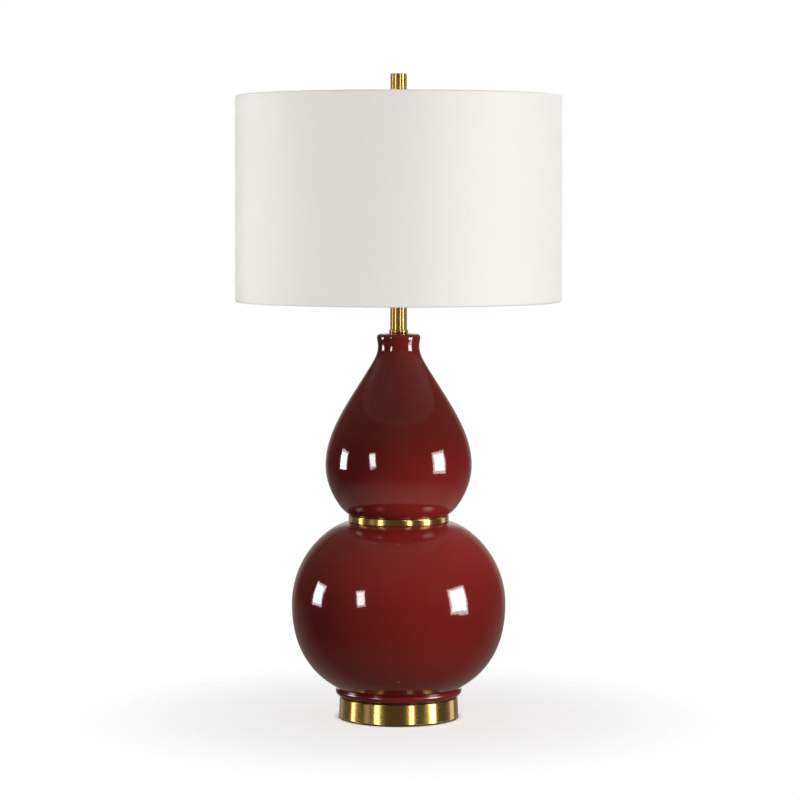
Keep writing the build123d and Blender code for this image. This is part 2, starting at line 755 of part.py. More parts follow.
def bulb_screw_cap():
    """The bulb's threaded cap, whose thread is turned as round ridges one pitch apart."""
    crest = BULB_THREAD_RADIUS
    root = BULB_THREAD_RADIUS - BULB_THREAD_DEPTH
    half_pitch = BULB_THREAD_PITCH / 2
    steps = range(2 * BULB_THREAD_TURNS + 1)
    outer = [(crest if step % 2 else root, bulb_cap_bottom + step * half_pitch) for step in steps]
    inner = [(radius - BULB_CAP_METAL, level) for radius, level in reversed(outer)]
    corners = outer + inner
    ends = (0, len(outer) - 1, len(outer), len(corners) - 1)
    rounds = {number: BULB_THREAD_ROUND for number in range(len(corners)) if number not in ends}
    return turned_polygon(corners, rounds)


def bulb_insulator():
    radius = bulb_cap_bore - THREAD_CLEARANCE
    top = bulb_cap_bottom + BULB_INSULATOR_PLUG
    corners = [
        (0, insulator_bottom),
        (BULB_CONTACT_RADIUS, insulator_bottom),
        (radius, bulb_cap_bottom),
        (radius, top),
        (0, top),
    ]
    return turned_polygon(corners)


def bulb_contact():
    corners = [
        (0, bulb_bottom),
        (BULB_CONTACT_RADIUS, bulb_bottom),
        (BULB_CONTACT_RADIUS, insulator_bottom),
        (0, insulator_bottom),
    ]
    return turned_polygon(corners, {1: BULB_CONTACT_ROUND})


def bulb_glass():
    belly = (BULB_RADIUS, bulb_bottom + BULB_LENGTH - BULB_RADIUS)
    neck = (bulb_neck_radius, bulb_cap_top)
    curve = (belly, BULB_BELLY_HANDLE, neck, BULB_NECK_HANDLE, BULB_NECK_SLOPE)
    bottom = bulb_cap_top - BULB_CEMENT_DEPTH
    outer_top, inner_top = dome(belly[1], BULB_RADIUS), dome(belly[1], BULB_RADIUS - BULB_GLASS)
    return turned(
        (bulb_neck_radius - BULB_GLASS, bottom),
        (bulb_neck_radius, bottom),
        backwards(belly_curve(*curve)),
        ThreePointArc(*outer_top),
        ThreePointArc(*reversed(inner_top)),
        forwards(belly_curve(*curve, inset=BULB_GLASS)),
    )


def dome(level, radius):
    """Three points of a ball's outline, from its side at the given level to its top on the axis."""
    corner = radius * math.sqrt(0.5)
    return [at(radius, level), at(corner, level + corner), at(0, level + radius)]


# ---- Harp -----------------------------------------------------------------------------------------


def harp_path():
    half = [
        (leg_x, 0),
        (leg_x, HARP_LEG_STRAIGHT),
        (HARP_WIDTH / 2, HARP_BOW_BOTTOM),
        (HARP_WIDTH / 2, HARP_BOW_TOP),
        (HARP_TOP_WIDTH / 2, HARP_HEIGHT),
    ]
    bends = [HARP_LEG_BEND, HARP_LOWER_BEND, HARP_UPPER_BEND, HARP_TOP_BEND]
    corners = [(-x, 0, harp_bottom + z) for x, z in half]
    corners += [(x, 0, harp_bottom + z) for x, z in reversed(half)]
    return FilletPolyline(*corners, radius=bends + bends[::-1])


def harp_wire():
    return swept(harp_path(), Circle(HARP_WIRE_RADIUS))


def harp_top_clip():
    bottom = harp_top - CLIP_BELOW_WIRE
    height = CLIP_BELOW_WIRE + CLIP_ABOVE_WIRE
    clip = Pos(0, 0, bottom + height / 2) * Box(CLIP_LENGTH, CLIP_WIDTH, height)
    clip = fillet(clip.edges().filter_by(Axis.X), CLIP_ROUND)
    half = CLIP_LENGTH / 2
    clip -= rod(HARP_WIRE_RADIUS + CLIP_CLEARANCE, (-half, 0, harp_top), (half, 0, harp_top))
    hole_bottom = clip_top - JOURNAL_LENGTH - JOURNAL_END_GAP
    return clip - disc(JOURNAL_RADIUS + JOURNAL_CLEARANCE, hole_bottom, clip_top)


def harp_stud():
    stud = disc(JOURNAL_RADIUS, clip_top - JOURNAL_LENGTH, shoulder_bottom)
    stud += collar(0, STUD_SHOULDER_RADIUS, shoulder_bottom, shoulder_top, STUD_SHOULDER_ROUND)
    return stud + disc(STUD_RADIUS, shoulder_top, shoulder_top + STUD_REACH)


def ferrule():
    """A locking sleeve at the height where it stands on the saddle's ledge, still on the lamp's axis."""
    bottom = harp_bottom
    radius = FERRULE_BORE_RADIUS + FERRULE_WALL
    corners = [
        (FERRULE_BORE_RADIUS, bottom),
        (FERRULE_FLANGE_RADIUS, bottom),
        (FERRULE_FLANGE_RADIUS, bottom + FERRULE_FLANGE_HEIGHT),
        (radius, bottom + FERRULE_FLANGE_HEIGHT),
        (radius, bottom + FERRULE_HEIGHT),
        (FERRULE_BORE_RADIUS, bottom + FERRULE_HEIGHT),
    ]
    return turned_polygon(corners, {4: FERRULE_WALL / 2})


def ferrule_left():
    return Pos(-ferrule_x, 0, 0) * ferrule()


def ferrule_right():
    return Pos(ferrule_x, 0, 0) * ferrule()


# ---- Shade ----------------------------------------------------------------------------------------


def half_turn(wire, radius, side):
    """Half of the fabric's way round a ring wire, over (1) or under (-1) it, from outside to inside."""
    return [
        at(wire[0] + radius, wire[1]),
        at(wire[0], wire[1] + side * radius),
        at(wire[0] - radius, wire[1]),
    ]


def cover_bore(level):
    """The cover's inner radius at a height between the two ring wires."""
    share = (level - bottom_wire[1]) / (top_wire[1] - bottom_wire[1])
    return wrap_radius + bottom_wire[0] + share * (top_wire[0] - bottom_wire[0])


def hem(wire, side):
    """The hem's corners, from inside the wire to its edge on the liner and back to the wire."""
    edge_level = wire[1] - side * HEM_DEPTH
    edge_radius = cover_bore(edge_level) - LINER_SHEET - 2 * LINER_SHEET_GAP
    bend_level = wire[1] - side * rolled_radius
    return [
        (wire[0] - rolled_radius, bend_level),
        (edge_radius - FABRIC_THICKNESS, edge_level),
        (edge_radius, edge_level),
        (wire[0] - wrap_radius, bend_level),
    ]


def shade_fabric():
    """The cover, one turned strip that rolls round both ring wires and ends in a hem inside."""
    cover = turned(
        ThreePointArc(*half_turn(top_wire, rolled_radius, 1)),
        *hem(top_wire, 1),
        ThreePointArc(*reversed(half_turn(top_wire, wrap_radius, 1))),
        ThreePointArc(*half_turn(bottom_wire, wrap_radius, -1)),
        *reversed(hem(bottom_wire, -1)),
        ThreePointArc(*reversed(half_turn(bottom_wire, rolled_radius, -1))),
    )
    return cover - fitter_arms(arm_radius + ARM_NOTCH_CLEARANCE)


def shade_liner():
    """The stiff sheet that the cover is laminated to, between the two ring wires."""
    bottom = bottom_wire[1] + rolled_radius
    top = top_wire[1] - rolled_radius
    bottom_radius = cover_bore(bottom) - LINER_SHEET_GAP
    top_radius = cover_bore(top) - LINER_SHEET_GAP
    corners = [
        (bottom_radius - LINER_SHEET, bottom),
        (bottom_radius, bottom),
        (top_radius, top),
        (top_radius - LINER_SHEET, top),
    ]
    return turned_polygon(corners)


def shade_ring(wire):
    """A round wire bent into a ring about the lamp's axis, wire being its centre's (radius, height)."""
    return Pos(0, 0, wire[1]) * Torus(wire[0], SHADE_WIRE_RADIUS)


def shade_top_ring():
    return shade_ring(top_wire)


def shade_bottom_ring():
    return shade_ring(bottom_wire)


def fitter_arms(radius):
    """The wires from the fitter's washer out to the top ring, which they climb to at their ends."""
    level = (fitter_bottom + fitter_top) / 2
    path = FilletPolyline(
        (FITTER_RADIUS - ARM_WELD, 0, level),
        (top_wire[0] - ARM_CLIMB, 0, level),
        (top_wire[0], 0, top_wire[1]),
        radius=ARM_BEND,
    )
    arm = swept(path, Circle(radius))
    turns = [FIRST_ARM_ANGLE + number * 360 / FITTER_ARMS for number in range(FITTER_ARMS)]
    return [Rot(0, 0, turn) * arm for turn in turns]


def spider_fitter():
    bore = STUD_RADIUS + FITTER_HOLE_CLEARANCE
    washer = collar(bore, FITTER_RADIUS, fitter_bottom, fitter_top, FITTER_EDGE_ROUND)
    return washer + fitter_arms(arm_radius) - shade_top_ring()


def finial():
    top = finial_bottom + FINIAL_HEIGHT
    corners = [(0, finial_bottom), (FINIAL_RADIUS, finial_bottom), (FINIAL_RADIUS, top), (0, top)]
    body = turned_polygon(corners, {1: FINIAL_BOTTOM_ROUND, 2: FINIAL_TOP_ROUND})
    bore = STUD_RADIUS + FINIAL_THREAD_CLEARANCE
    return body - disc(bore, finial_bottom, finial_bottom + FINIAL_BORE_DEPTH)


# ---- Writing the pieces ---------------------------------------------------------------------------

PIECES = [
    felt_pad,
    base_shell,
    cord_bushing,
    foot_gasket,
    base_flat_washer,
    base_lock_washer,
    base_hex_nut,
    lamp_pipe,
    lower_gourd,
    waist_ring,
    upper_gourd,
    neck_seat_ring,
    neck_tube,
    neck_check_ring,
    neck_lock_nut,
    harp_saddle,
    socket_cap,
    cap_set_screw,
    socket_shell,
    socket_liner,
    socket_block,
    terminal_screws,
    centre_contact,
    screw_shell,
    switch_stem,
    switch_knob,
    bulb_screw_cap,
    bulb_insulator,
    bulb_contact,
    bulb_glass,
    harp_wire,
    harp_top_clip,
    harp_stud,
    ferrule_left,
    ferrule_right,
    shade_fabric,
    shade_liner,
    shade_top_ring,
    shade_bottom_ring,
    spider_fitter,
    finial,
]

os.makedirs("parts", exist_ok=True)
for piece in PIECES:
    export_step(piece(), f"parts/{piece.__name__}.step")
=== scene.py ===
"""Double gourd table lamp: the looks of every piece, the floor, the lights and the camera.

Metres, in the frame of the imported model: +Z is up, the front is -Y and the lamp's axis is the Z axis.
"""

import json
import math
import random

import bpy
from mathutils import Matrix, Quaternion, Vector

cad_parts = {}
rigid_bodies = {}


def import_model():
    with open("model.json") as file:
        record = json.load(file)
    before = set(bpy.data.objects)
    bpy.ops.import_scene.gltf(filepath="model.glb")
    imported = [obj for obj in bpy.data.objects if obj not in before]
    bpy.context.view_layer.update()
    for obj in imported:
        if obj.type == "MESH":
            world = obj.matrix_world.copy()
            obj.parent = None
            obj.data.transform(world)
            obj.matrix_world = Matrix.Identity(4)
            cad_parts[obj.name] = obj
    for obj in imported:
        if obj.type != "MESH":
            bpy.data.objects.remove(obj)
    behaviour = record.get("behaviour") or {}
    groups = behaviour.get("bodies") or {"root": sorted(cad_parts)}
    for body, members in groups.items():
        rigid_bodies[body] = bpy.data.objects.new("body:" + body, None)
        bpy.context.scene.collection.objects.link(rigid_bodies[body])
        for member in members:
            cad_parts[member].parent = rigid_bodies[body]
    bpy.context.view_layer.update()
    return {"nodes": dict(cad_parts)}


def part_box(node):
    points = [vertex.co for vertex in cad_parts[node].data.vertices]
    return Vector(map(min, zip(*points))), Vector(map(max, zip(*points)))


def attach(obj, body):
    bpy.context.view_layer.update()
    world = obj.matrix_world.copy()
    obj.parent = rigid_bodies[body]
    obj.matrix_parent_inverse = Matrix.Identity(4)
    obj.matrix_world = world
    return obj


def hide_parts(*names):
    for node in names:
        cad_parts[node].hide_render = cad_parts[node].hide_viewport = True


MM = 0.001
FULL_TURN = 2 * math.pi

for default_object in list(bpy.data.objects):
    bpy.data.objects.remove(default_object, do_unlink=True)

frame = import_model()
nodes = frame["nodes"]

# ---- Camera ---------------------------------------------------------------------------------------

SENSOR_WIDTH = 36.0
FRAME_PIXELS = 800
FOCAL_PIXELS = 2900.6
CAMERA_DISTANCE = 3.3994
CAMERA_HEIGHT = 0.6078
CAMERA_SIDE = 0.0016
CAMERA_PITCH = 3.916
LEVEL_VIEW = 90
CLIP_NEAR = 0.05
CLIP_FAR = 50


def make_camera():
    """The photograph's view: level in roll, and tipped down by the pitch."""
    lens = bpy.data.cameras.new("camera")
    lens.sensor_width = SENSOR_WIDTH
    lens.lens = FOCAL_PIXELS * SENSOR_WIDTH / FRAME_PIXELS
    lens.clip_start = CLIP_NEAR
    lens.clip_end = CLIP_FAR
    camera = bpy.data.objects.new("camera", lens)
    bpy.context.scene.collection.objects.link(camera)
    camera.location = (CAMERA_SIDE, -CAMERA_DISTANCE, CAMERA_HEIGHT)
    camera.rotation_euler = (math.radians(LEVEL_VIEW - CAMERA_PITCH), 0, 0)
    bpy.context.scene.camera = camera


make_camera()

# ---- Materials ------------------------------------------------------------------------------------

# The Mix node's colour sockets come after its sockets for numbers and for vectors.
MIX_SHARE, MIX_FIRST, MIX_SECOND = 0, 6, 7
MIX_RESULT = 2
QUARTER_TURN = 0.25


class Finish:
    """A material whose node tree is built up by its methods."""

    def __init__(self, name, roughness, metallic=0.0, **constants):
        self.material = bpy.data.materials.new(name)
        self.material.use_nodes = True
        self.nodes = self.material.node_tree.nodes
        self.links = self.material.node_tree.links
        self.surface = self.nodes["Principled BSDF"]
        self.surface.inputs["Roughness"].default_value = roughness
        self.surface.inputs["Metallic"].default_value = metallic
        for socket, value in constants.items():
            self.surface.inputs[socket.replace("_", " ")].default_value = value

    def put(self, kind, inputs=None, **settings):
        """A new node, with its settings, and its inputs as numbers or as other nodes' outputs."""
        made = self.nodes.new("ShaderNode" + kind)
        for setting, value in settings.items():
            setattr(made, setting, value)
        for socket, value in (inputs or {}).items():
            self.feed(made.inputs[socket], value)
        return made

    def feed(self, socket, value):
        if isinstance(value, bpy.types.NodeSocket):
            self.links.new(value, socket)
        else:
            socket.default_value = value

    def show(self, shader):
        """Another shader in place of the plain surface."""
        self.links.new(shader, self.nodes["Material Output"].inputs["Surface"])

    def math(self, operation, first, second=0.0):
        """The result of one piece of arithmetic."""
        return self.put("Math", {0: first, 1: second}, operation=operation).outputs[0]

    def place(self, stretch=(1, 1, 1)):
        """The point's place in the lamp, each way multiplied by stretch."""
        where = self.put("TexCoord").outputs["Object"]
        return self.put("Mapping", {"Vector": where, "Scale": stretch}).outputs[0]

    def coordinates(self):
        """The point's place in the lamp as three numbers."""
        return self.put("SeparateXYZ", {0: self.put("TexCoord").outputs["Object"]}).outputs

    def unrolled(self, radius):
        """The point's place as (distance round the axis, height, distance from it)."""
        across, along, height = self.coordinates()
        # The angle is counted from the back, where the pattern's two ends meet.
        angle = self.math("ARCTAN2", across, self.math("MULTIPLY", along, -1.0))
        squares = self.math("ADD", self.math("POWER", across, 2.0), self.math("POWER", along, 2.0))
        return self.math("MULTIPLY", angle, radius), height, self.math("SQRT", squares)

    def vector(self, x, y, z=0.0):
        return self.put("CombineXYZ", {0: x, 1: y, 2: z}).outputs[0]

    def noise(self, where, scale, detail=2.0, roughness=0.5):
        inputs = {"Vector": where, "Scale": scale, "Detail": detail, "Roughness": roughness}
        return self.put("TexNoise", inputs).outputs[0]

    def streaks(self, around, height, round_scale, up_scale, detail, roughness=0.5):
        """Noise drawn out into streaks, with one scale round the lamp and another up it."""
        across = self.math("MULTIPLY", around, round_scale)
        up = self.math("MULTIPLY", height, up_scale)
        return self.noise(self.vector(across, up), 1.0, detail, roughness)

    def span(self, value, low, high, to_low=0.0, to_high=1.0):
        """value taken from the range low to high to another, and held inside it."""
        inputs = {0: value, 1: low, 2: high, 3: to_low, 4: to_high}
        return self.put("MapRange", inputs).outputs[0]

    def mix(self, share, first, second):
        """A colour between two others."""
        made = self.put("Mix", data_type="RGBA")
        for socket, value in ((MIX_SHARE, share), (MIX_FIRST, first), (MIX_SECOND, second)):
            self.feed(made.inputs[socket], (*value, 1.0) if isinstance(value, tuple) else value)
        return made.outputs[MIX_RESULT]

    def tinted(self, strength, share, colour, tint):
        """A colour with a tint laid over it, up to strength."""
        return self.mix(self.math("MULTIPLY", share, strength), colour, tint)

    def colour(self, value):
        self.feed(self.surface.inputs["Base Color"], value)

    def rough(self, value):
        self.feed(self.surface.inputs["Roughness"], value)

    def raised(self, height, depth):
        """Bumps of a height from 0 to 1, depth metres tall, on top of those already there."""
        normal = self.surface.inputs["Normal"]
        inputs = {"Height": height, "Distance": depth, "Strength": 1.0}
        if normal.links:
            inputs["Normal"] = normal.links[0].from_socket
        self.feed(normal, self.put("Bump", inputs).outputs[0])

    def turned(self, amount):
        """Fine grooves round the lamp's axis, which draw reflections out across themselves."""
        around = self.put("Tangent", direction_type="RADIAL", axis="Z").outputs[0]
        self.feed(self.surface.inputs["Tangent"], around)
        self.surface.inputs["Anisotropic"].default_value = amount
        self.surface.inputs["Anisotropic Rotation"].default_value = QUARTER_TURN

    def lets_light_in(self, share, depth):
        """Lets a share of the light in, to spread about depth metres under the surface."""
        self.surface.inputs["Subsurface Weight"].default_value = share
        self.surface.inputs["Subsurface Radius"].default_value = (depth, depth, depth)


WAIST_HEIGHT = sum(corner.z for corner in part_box("waist_ring")) / 2
WAIST_CREASE = 20 * MM
CREASE_FADE = 5 * MM
BEAD_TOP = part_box("lower_gourd")[0].z + 10 * MM
BEAD_FADE = 3 * MM
GLAZE_ROUGHNESS = 0.06
DULL_GLAZE_ROUGHNESS = 0.21
GLAZE_THICK = (0.185, 0.0125, 0.011)
GLAZE_THIN = (0.215, 0.0155, 0.0135)
GLAZE_SPECK = (0.07, 0.008, 0.008)
GLAZE_OVER_EDGES = (0.30, 0.055, 0.028)
GLAZE_WAVES = 0.06 * MM
GLAZE_RIPPLES = 0.002 * MM


def dull_glaze(finish):
    """1 where a finger can't polish the glaze: in the crease beside the ring, and on the foot's bead."""
    height = finish.unrolled(1.0)[1]
    off_waist = finish.math("ABSOLUTE", finish.math("SUBTRACT", height, WAIST_HEIGHT))
    crease = finish.span(off_waist, WAIST_CREASE, WAIST_CREASE - CREASE_FADE)
    bead = finish.span(height, BEAD_TOP, BEAD_TOP - BEAD_FADE)
    return finish.math("MAXIMUM", crease, bead)


def oxblood_glaze():
    """A deep red glaze, cloudy and lightly specked."""
    finish = Finish("glaze", GLAZE_ROUGHNESS, IOR=1.52)
    where = finish.place()
    cloud = finish.span(finish.noise(where, scale=11, detail=4), 0.3, 0.7)
    speck = finish.span(finish.noise(where, scale=900, detail=2), 0.68, 0.78)
    body = finish.tinted(0.25, speck, finish.mix(cloud, GLAZE_THICK, GLAZE_THIN), GLAZE_SPECK)
    # The glaze runs thin over sharp edges, and the clay warms it there.
    edge = finish.span(finish.put("NewGeometry").outputs["Pointiness"], 0.53, 0.62)
    finish.colour(finish.tinted(0.55, edge, body, GLAZE_OVER_EDGES))
    finish.rough(finish.span(dull_glaze(finish), 0, 1, GLAZE_ROUGHNESS, DULL_GLAZE_ROUGHNESS))
    finish.raised(finish.noise(where, scale=34, detail=1), GLAZE_WAVES)
    finish.raised(finish.noise(where, scale=150, detail=1), GLAZE_RIPPLES)
    return finish.material


BRASS_ROUGHNESS = 0.28
BRASS_GROOVES = 0.97
BRASS_GROOVES_PER_METRE = 2600
BRASS_DEEP = (0.84, 0.53, 0.125)
BRASS_BRIGHT = (0.89, 0.58, 0.15)
BRASS_TARNISH = (0.66, 0.38, 0.08)


def satin_brass():
    """Lacquered brass with the fine grooves of a lathe and a trace of tarnish."""
    finish = Finish(
        "polished_brass", BRASS_ROUGHNESS, metallic=1.0, Coat_Weight=1.0, Coat_Roughness=0.05, Coat_IOR=1.6
    )
    around, height, reach = finish.unrolled(1.0)
    lines = finish.vector(finish.math("MULTIPLY", around, 2.0), height, reach)
    stretch = (1, BRASS_GROOVES_PER_METRE, BRASS_GROOVES_PER_METRE)
    grooves = finish.put("Mapping", {"Vector": lines, "Scale": stretch}).outputs[0]
    grain = finish.noise(grooves, scale=1.0, detail=3)
    tarnish = finish.span(finish.noise(finish.place(), scale=45, detail=4, roughness=0.6), 0.42, 0.75)
    gold = finish.mix(grain, BRASS_DEEP, BRASS_BRIGHT)
    finish.colour(finish.tinted(0.22, tarnish, gold, BRASS_TARNISH))
    worn = finish.span(grain, 0.25, 0.75, BRASS_ROUGHNESS * 0.92, BRASS_ROUGHNESS * 1.08)
    finish.rough(finish.math("ADD", worn, finish.math("MULTIPLY", tarnish, 0.015)))
    finish.turned(BRASS_GROOVES)
    return finish.material


def plain_brass():
    """Bare stamped brass, unevenly stained."""
    clean, stained = (0.78, 0.56, 0.22), (0.55, 0.36, 0.14)
    finish = Finish("plain_brass", roughness=0.28, metallic=1.0)
    stain = finish.span(finish.noise(finish.place(), scale=160, detail=4, roughness=0.65), 0.35, 0.7)
    finish.colour(finish.mix(stain, clean, stained))
    finish.rough(finish.span(stain, 0, 1, 0.22, 0.42))
    return finish.material


PLATING_GRAIN = 0.006 * MM


def plated_steel(name, bright, dull, roughness, grain_scale):
    """Plated steel: cloudy, and rougher where it is duller."""
    finish = Finish(name, roughness, metallic=1.0)
    where = finish.place()
    cloud = finish.span(finish.noise(where, grain_scale, detail=4, roughness=0.6), 0.35, 0.68)
    finish.colour(finish.mix(cloud, bright, dull))
    finish.rough(finish.span(cloud, 0, 1, roughness * 0.8, roughness * 1.3))
    finish.raised(finish.noise(where, grain_scale * 8, detail=3), PLATING_GRAIN)
    return finish.material


def moulding(name, colour, roughness, grain_depth):
    """A moulded plastic, rubber or board, with a fine grain and slightly uneven sheen."""
    finish = Finish(name, roughness, IOR=1.5)
    where = finish.place()
    lighter = tuple(part * 1.35 + 0.004 for part in colour)
    grain = finish.noise(where, scale=1400, detail=3)
    sheen = finish.noise(where, scale=60, detail=3)
    finish.colour(finish.mix(finish.span(grain, 0.35, 0.75), colour, lighter))
    finish.rough(finish.span(sheen, 0.3, 0.7, roughness * 0.85, roughness * 1.2))
    finish.raised(grain, grain_depth)
    return finish.material


def fibre_board():
    """Brown insulating board, with fibres that run up the lamp."""
    dark, light = (0.33, 0.23, 0.13), (0.52, 0.40, 0.26)
    finish = Finish("fibre_board", roughness=0.7)
    fibres = finish.noise(finish.place((500, 500, 60)), scale=1.0, detail=4, roughness=0.7)
    finish.colour(finish.mix(finish.span(fibres, 0.3, 0.7), dark, light))
    finish.raised(fibres, 0.08 * MM)
    return finish.material


def enamelled_wire():
    """Dipped white enamel, a little thicker in places."""
    thick, thin = (0.84, 0.83, 0.80), (0.74, 0.72, 0.67)
    finish = Finish("white_wire", roughness=0.32, IOR=1.5)
    drip = finish.noise(finish.place(), scale=70, detail=3)
    finish.colour(finish.mix(finish.span(drip, 0.35, 0.7), thick, thin))
    finish.raised(drip, 0.08 * MM)
    return finish.material


def frosted_glass():
    """The bulb's milky glass."""
    thin, thick = (0.90, 0.90, 0.885), (0.945, 0.945, 0.93)
    finish = Finish("frosted_glass", roughness=0.42, IOR=1.5)
    finish.surface.inputs["Transmission Weight"].default_value = 0.22
    finish.lets_light_in(0.25, 4 * MM)
    where = finish.place()
    frost = finish.noise(where, scale=90, detail=5, roughness=0.65)
    etching = finish.noise(where, scale=1800, detail=2)
    finish.colour(finish.mix(finish.span(frost, 0.3, 0.7), thin, thick))
    finish.rough(finish.span(etching, 0.3, 0.7, 0.36, 0.5))
    return finish.material


SHADE_RADIUS = 191.2 * MM
LINER_RADIUS = 190 * MM


def shade_styrene():
    """The shade's stiff plastic lining, with the faint streaks of its rolling."""
    dark, light = (0.88, 0.875, 0.85), (0.91, 0.905, 0.88)
    finish = Finish("shade_styrene", roughness=0.34, IOR=1.55)
    finish.lets_light_in(0.15, 2 * MM)
    around, height, _ = finish.unrolled(LINER_RADIUS)
    rolled = finish.noise(finish.vector(finish.math("MULTIPLY", around, 40), height), scale=4.0, detail=3)
    finish.colour(finish.mix(finish.span(rolled, 0.3, 0.7), dark, light))
    finish.rough(finish.span(rolled, 0.3, 0.7, 0.3, 0.42))
    return finish.material


THREAD_PITCH = 0.62 * MM
THREAD_SCALE, THREAD_LENGTH_SCALE = 1500, 26
SLUB_SCALE, SLUB_LENGTH_SCALE = 900, 95
UPRIGHT_SHARE, LEVEL_SHARE = 1.5, 0.5
LINEN_DARK = (0.855, 0.822, 0.776)
LINEN_LIGHT = (0.890, 0.858, 0.815)
LINEN_HOLLOW = (0.78, 0.745, 0.69)
LINEN_SLUB = (0.72, 0.69, 0.62)
WEAVE_DEPTH = 0.03 * MM
THREAD_DEPTH = 0.09 * MM
SLUB_DEPTH = 0.20 * MM


def linen_threads(finish, around, height):
    """Threads both ways, uneven along their length. The upright ones show more."""
    upright = finish.streaks(around, height, THREAD_SCALE, THREAD_LENGTH_SCALE, 3, 0.6)
    level = finish.streaks(around, height, THREAD_LENGTH_SCALE, THREAD_SCALE, 3, 0.6)
    upright = finish.math("MULTIPLY", upright, UPRIGHT_SHARE)
    return finish.math("ADD", upright, finish.math("MULTIPLY", level, LEVEL_SHARE))


def linen_slubs(finish, around, height):
    """The few places where a thread is thick."""
    upright = finish.streaks(around, height, SLUB_SCALE, SLUB_LENGTH_SCALE, 1)
    level = finish.streaks(around, height, SLUB_LENGTH_SCALE, SLUB_SCALE, 1)
    return finish.math("ADD", finish.span(upright, 0.76, 0.84), finish.span(level, 0.78, 0.86))


def linen_weave(finish, around, height):
    """Over and under at the threads' real pitch, from -1 in the hollows to 1."""
    waves = FULL_TURN / THREAD_PITCH
    warp = finish.math("SINE", finish.math("MULTIPLY", around, waves))
    weft = finish.math("SINE", finish.math("MULTIPLY", height, waves))
    return finish.math("MULTIPLY", warp, weft)


def shade_linen():
    """Plain woven linen."""
    finish = Finish("shade_linen", roughness=0.88, IOR=1.45, Sheen_Weight=0.12)
    finish.surface.inputs["Specular IOR Level"].default_value = 0.3
    around, height, _ = finish.unrolled(SHADE_RADIUS)
    threads = linen_threads(finish, around, height)
    slubs = linen_slubs(finish, around, height)
    weave = linen_weave(finish, around, height)
    cloth = finish.mix(finish.span(threads, 0.7, 1.3), LINEN_DARK, LINEN_LIGHT)
    cloth = finish.mix(finish.span(weave, -1.0, 1.0, 0.0, 0.07), cloth, LINEN_HOLLOW)
    finish.colour(finish.tinted(0.35, slubs, cloth, LINEN_SLUB))
    finish.raised(weave, WEAVE_DEPTH)
    finish.raised(threads, THREAD_DEPTH)
    finish.raised(slubs, SLUB_DEPTH)
    return finish.material


def pressed_felt():
    """Dark felt with a matted pile."""
    dark, light = (0.035, 0.032, 0.03), (0.095, 0.088, 0.08)
    finish = Finish("felt", roughness=0.95, IOR=1.4, Sheen_Weight=0.5)
    fibres = finish.noise(finish.place(), scale=700, detail=6, roughness=0.75)
    finish.colour(finish.mix(finish.span(fibres, 0.3, 0.7), dark, light))
    finish.raised(fibres, 0.4 * MM)
    return finish.material


FINISHES = {
    "felt": pressed_felt(),
    "polished_brass": satin_brass(),
    "black_nylon": moulding("black_nylon", (0.018, 0.018, 0.019), roughness=0.48, grain_depth=0.03 * MM),
    "rubber": moulding("rubber", (0.016, 0.015, 0.015), roughness=0.75, grain_depth=0.05 * MM),
    "zinc_steel": plated_steel(
        "zinc_steel", bright=(0.62, 0.63, 0.63), dull=(0.45, 0.45, 0.43), roughness=0.38, grain_scale=140
    ),
    "oxblood_glaze": oxblood_glaze(),
    "contact_brass": plain_brass(),
    "nickel_steel": plated_steel(
        "nickel_steel", bright=(0.70, 0.68, 0.64), dull=(0.60, 0.575, 0.53), roughness=0.22, grain_scale=90
    ),
    "fibre_board": fibre_board(),
    "phenolic": moulding("phenolic", (0.016, 0.013, 0.012), roughness=0.24, grain_depth=0.012 * MM),
    "bulb_metal": plated_steel(
        "bulb_metal", bright=(0.80, 0.80, 0.81), dull=(0.66, 0.66, 0.67), roughness=0.24, grain_scale=200
    ),
    "bulb_insulation": moulding(
        "bulb_insulation", (0.012, 0.012, 0.02), roughness=0.12, grain_depth=0.004 * MM
    ),
    "frosted_glass": frosted_glass(),
    "shade_linen": shade_linen(),
    "shade_styrene": shade_styrene(),
    "white_wire": enamelled_wire(),
}


def dress_frame():
    """Gives every carried-over node the finish of its material slot."""
    for node in nodes.values():
        for slot in node.material_slots:
            slot.material = FINISHES[slot.material.name.split(".")[0]]


# ---- Piece helpers --------------------------------------------------------------------------------


def new_piece(name, vertices, faces, slot, body, replaced):
    """A smooth-shaded mesh that rides on a body and stands for a node."""
    mesh = bpy.data.meshes.new(name)
    mesh.from_pydata(vertices, [], faces)
    mesh.validate()
    piece = bpy.data.objects.new(name, mesh)
    bpy.context.scene.collection.objects.link(piece)
    mesh.materials.append(FINISHES[slot])
    mesh.shade_smooth()
    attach(piece, body)
    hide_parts(replaced)
    return piece


def grid_faces(rows, columns, closed):
    """Quads between rows of points that go round, which meet at the end if closed."""
    faces = []
    for row in range(rows - 1):
        for column in range(columns if closed else columns - 1):
            near = row * columns + column
            beside = row * columns + (column + 1) % columns
            faces.append((near, beside, beside + columns, near + columns))
    return faces


def middle_of(vertices, face):
    """The middle of a four-sided face."""
    return sum((Vector(vertices[corner]) for corner in face), Vector()) / 4


def around_axis(radius, angle, height):
    return (radius * math.cos(angle), radius * math.sin(angle), height)


# ---- Shade cover ----------------------------------------------------------------------------------

CLOTH_THICKNESS = 0.6 * MM
HEM_DEPTH = 9.0 * MM
HEM_SET_IN = 1.2 * MM
